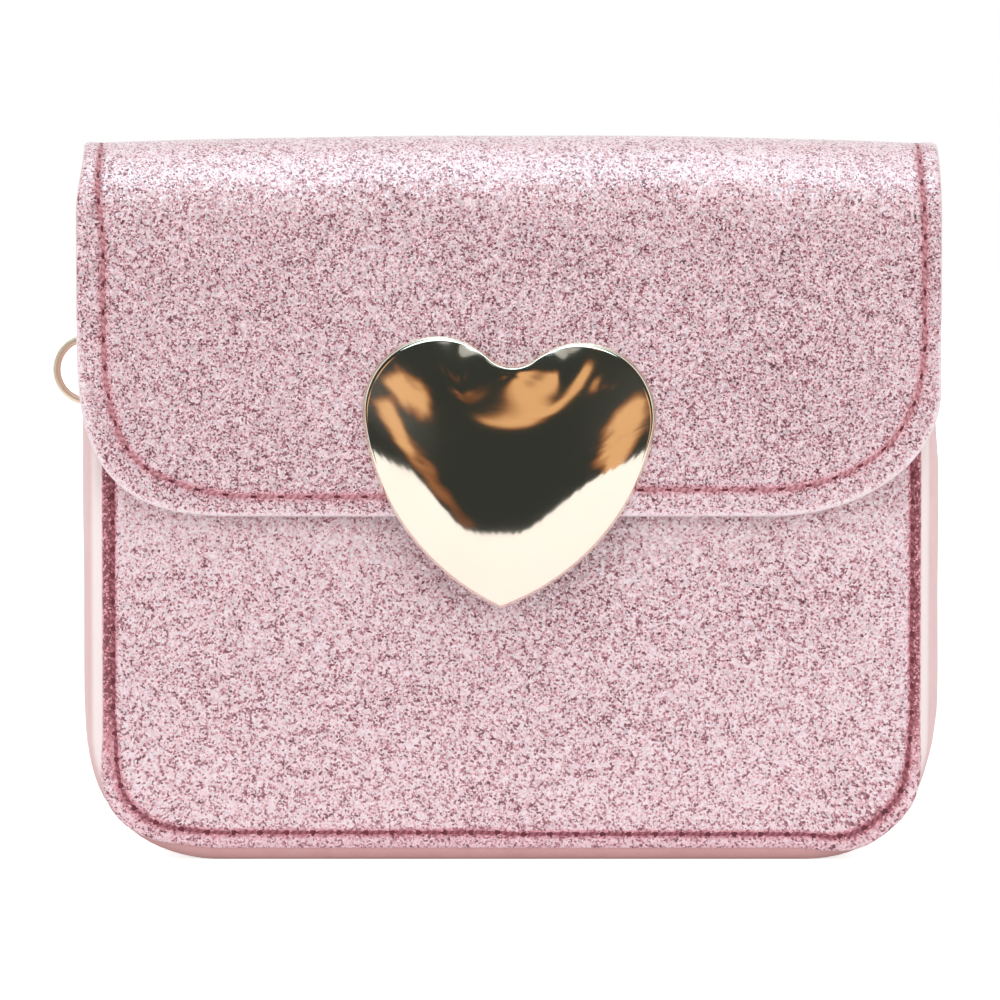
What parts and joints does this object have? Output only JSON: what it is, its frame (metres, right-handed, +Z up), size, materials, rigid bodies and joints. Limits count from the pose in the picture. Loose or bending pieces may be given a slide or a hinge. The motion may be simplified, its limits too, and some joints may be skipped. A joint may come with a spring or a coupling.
{
  "type": "shoulder bag",
  "caption": "Small box-shaped shoulder bag with rounded lower corners, glitter flap with a domed metal heart, hidden magnetic snap and a swivelling strap ring at each side",
  "frame": {"origin": "Middle of the flat base that the bag stands on", "axes": "+Z up, +X to the right seen from the front, the front with the heart faces -Y"},
  "size_m": [0.1374, 0.0522, 0.1093],
  "materials": {
    "glitter": "pink glitter leatherette",
    "smooth_leather": "smooth pale pink leatherette",
    "board": "grey-brown bag stiffener board",
    "lining": "plain pale pink woven lining",
    "heart_metal": "polished pale gold plate",
    "ring_metal": "pale champagne gold plate",
    "snap_metal": "thin gold-plated sheet",
    "steel": "plain steel sheet",
    "magnet": "dark sintered magnet ring"
  },
  "bodies": {
    "bag": {"front_panel": "glitter", "front_board": "board", "front_lining": "lining", "back_panel": "glitter", "back_board": "board", "back_lining": "lining", "gusset": "smooth_leather", "gusset_board": "board", "gusset_lining": "lining", "left_ring_tab": "smooth_leather", "right_ring_tab": "smooth_leather", "snap_case": "snap_metal", "snap_magnet": "magnet", "snap_case_plate": "snap_metal", "snap_case_washer": "steel", "flap_seam_skin": "glitter", "flap_seam_lining": "lining", "back_fold_skin": "glitter", "back_fold_lining": "lining"},
    "flap_top": {"flap_top_skin": "glitter", "flap_top_lining": "lining", "front_fold_skin": "glitter", "front_fold_lining": "lining"},
    "flap_front": {"flap_front_skin": "glitter", "flap_front_board": "board", "flap_front_lining": "lining", "heart_shell": "heart_metal", "heart_base": "heart_metal", "heart_washers": "steel", "snap_stud": "snap_metal", "snap_stud_washer": "steel"},
    "left_ring": {"left_ring": "ring_metal"},
    "right_ring": {"right_ring": "ring_metal"}
  },
  "joints": [
    {"name": "flap_lift", "type": "hinge", "parent": "bag", "child": "flap_top", "pos_m": [0, 0.01945, 0.10735], "axis": [-1, 0, 0], "range_deg": [0, 175], "deforming": ["back_fold_skin", "back_fold_lining"]},
    {"name": "flap_unfold", "type": "hinge", "parent": "flap_top", "child": "flap_front", "pos_m": [0, -0.02217, 0.10617], "axis": [-1, 0, 0], "range_deg": [0, 90], "deforming": ["front_fold_skin", "front_fold_lining"]},
    {"name": "left_ring_swing", "type": "hinge", "parent": "bag", "child": "left_ring", "pos_m": [-0.06505, 0, 0.074], "axis": [0, 0, 1], "range_deg": [-80, 80]},
    {"name": "right_ring_swing", "type": "hinge", "parent": "bag", "child": "right_ring", "pos_m": [0.06505, 0, 0.074], "axis": [0, 0, 1], "range_deg": [-155, 5]}
  ]
}
